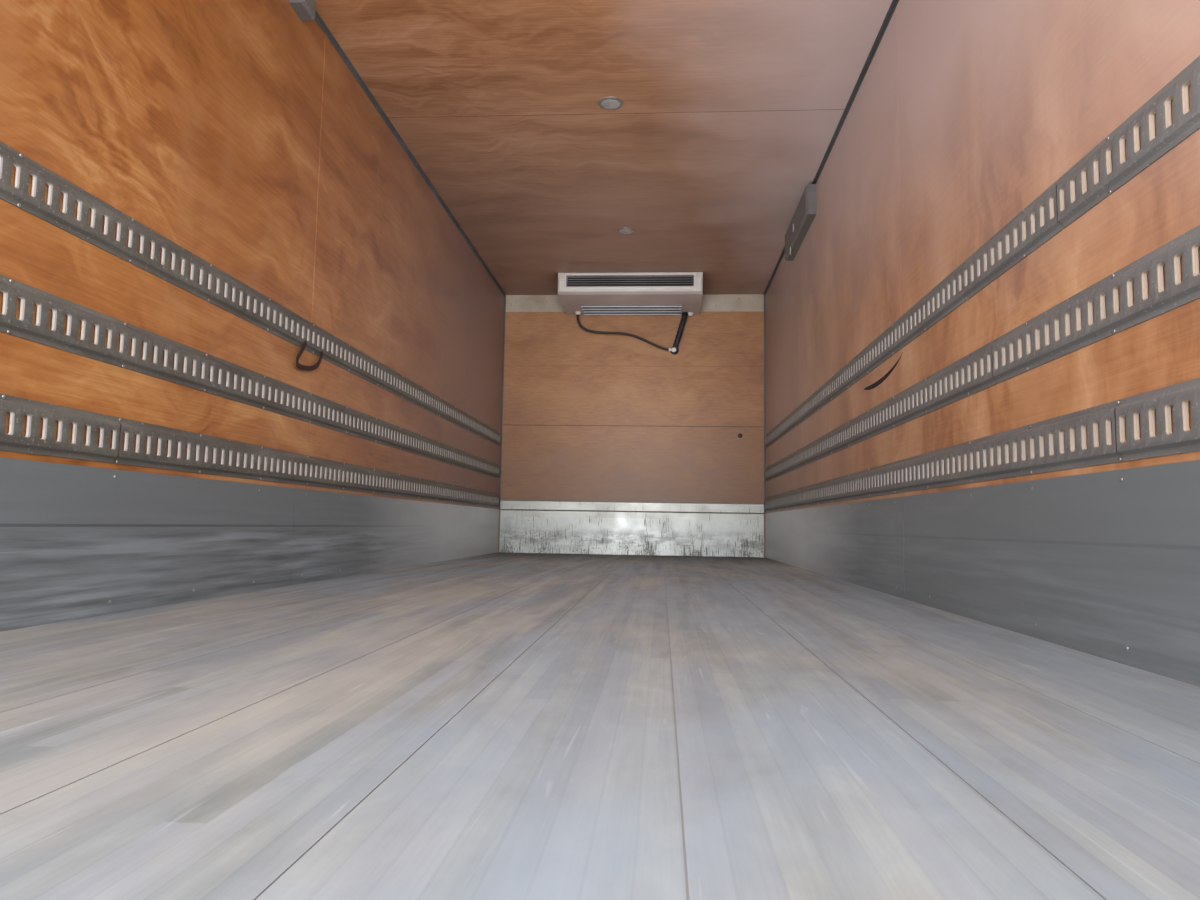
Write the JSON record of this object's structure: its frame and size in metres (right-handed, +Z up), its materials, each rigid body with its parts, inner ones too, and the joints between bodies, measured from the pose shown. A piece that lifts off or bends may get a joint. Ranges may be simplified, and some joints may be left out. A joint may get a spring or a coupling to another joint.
{
  "type": "refrigerated truck box body",
  "caption": "Insulated load body of a refrigerated truck with hinged rear doors, lashing rails, evaporator and nose-mounted condenser.",
  "frame": {"origin": "on the ground plane under the middle of the whole body's box, doors folded back", "axes": "+Z up, +Y towards the cab, +X to the right-hand side"},
  "size_m": [2.804, 8.457, 2.749],
  "materials": {
    "galvanised": "hot-dip galvanised, dull",
    "laminate": "white glass-fibre laminate",
    "deck_boards": "worn grey laminated hardwood",
    "plywood": "varnished plywood",
    "roof_plywood": "varnished plywood, dull",
    "cream_board": "cream paint",
    "kick_plate": "dark grey paint, scuffed",
    "front_plate": "dull galvanised sheet, scratched",
    "rail_paint": "dark grey paint",
    "dark_trim": "dark grey paint",
    "stainless": "brushed stainless steel",
    "anodised": "satin anodised",
    "lamp_lens": "amber lens",
    "black_rubber": "matt black rubber",
    "evaporator_plastic": "off-white moulded plastic",
    "louvre_plastic": "grey-white moulded plastic",
    "pipe_lagging": "black taped foam lagging",
    "black_hose": "black rubber hose",
    "lamp_cover": "frosted lamp cover",
    "dark_box": "dark grey plastic",
    "webbing": "brown woven webbing",
    "unit_plastic": "white moulded cover",
    "unit_grille": "black moulded grille",
    "fins": "finned coil",
    "fan_plastic": "black moulded fan"
  },
  "bodies": {
    "box_body": {"sill_left": "galvanised", "sill_right": "galvanised", "cross_members": "galvanised", "mounting_feet": "galvanised", "floor_slab": "laminate", "floor_deck": "deck_boards", "wall_left": "laminate", "wall_right": "laminate", "wall_front": "laminate", "roof": "laminate", "lining_left": "plywood", "lining_right": "plywood", "lining_front": "plywood", "lining_roof": "roof_plywood", "front_top_strip": "cream_board", "kick_left": "kick_plate", "kick_right": "kick_plate", "kick_front": "front_plate", "ceiling_angles": "dark_trim", "corner_angles": "dark_trim", "rear_portal": "stainless", "edge_profiles": "anodised", "marker_lamps": "lamp_lens", "buffers": "black_rubber", "hinge_brackets": "stainless", "evaporator_housing": "evaporator_plastic", "evaporator_louvres": "louvre_plastic", "pipe_bundle": "pipe_lagging", "drain_hose": "black_hose", "ceiling_lamps": "lamp_cover", "wall_boxes": "dark_box", "wall_strap": "webbing", "unit_housing": "unit_plastic", "unit_grilles": "unit_grille", "unit_coil": "fins", "rail_left_low": "rail_paint", "rail_left_mid": "rail_paint", "rail_left_top": "rail_paint", "rail_right_low": "rail_paint", "rail_right_mid": "rail_paint", "rail_right_top": "rail_paint"},
    "left_door": {"door_left": "laminate", "door_seal_left": "black_rubber", "door_hardware_left": "stainless"},
    "right_door": {"door_right": "laminate", "door_seal_right": "black_rubber", "door_hardware_right": "stainless"},
    "left_fan": {"fan_left": "fan_plastic"},
    "right_fan": {"fan_right": "fan_plastic"}
  },
  "joints": [
    {"name": "left_door_hinge", "type": "hinge", "parent": "box_body", "child": "left_door", "pos_m": [-1.282, -4.2035, 1.4], "axis": [0, 0, 1], "range_deg": [0, 270]},
    {"name": "right_door_hinge", "type": "hinge", "parent": "box_body", "child": "right_door", "pos_m": [1.282, -4.2035, 1.4], "axis": [0, 0, -1], "range_deg": [0, 270]},
    {"name": "left_fan_spin", "type": "hinge", "parent": "box_body", "child": "left_fan", "pos_m": [-0.33, 3.9985, 2.364], "axis": [0, 1, 0], "continuous": true},
    {"name": "right_fan_spin", "type": "hinge", "parent": "box_body", "child": "right_fan", "pos_m": [0.33, 3.9985, 2.364], "axis": [0, 1, 0], "continuous": true}
  ]
}
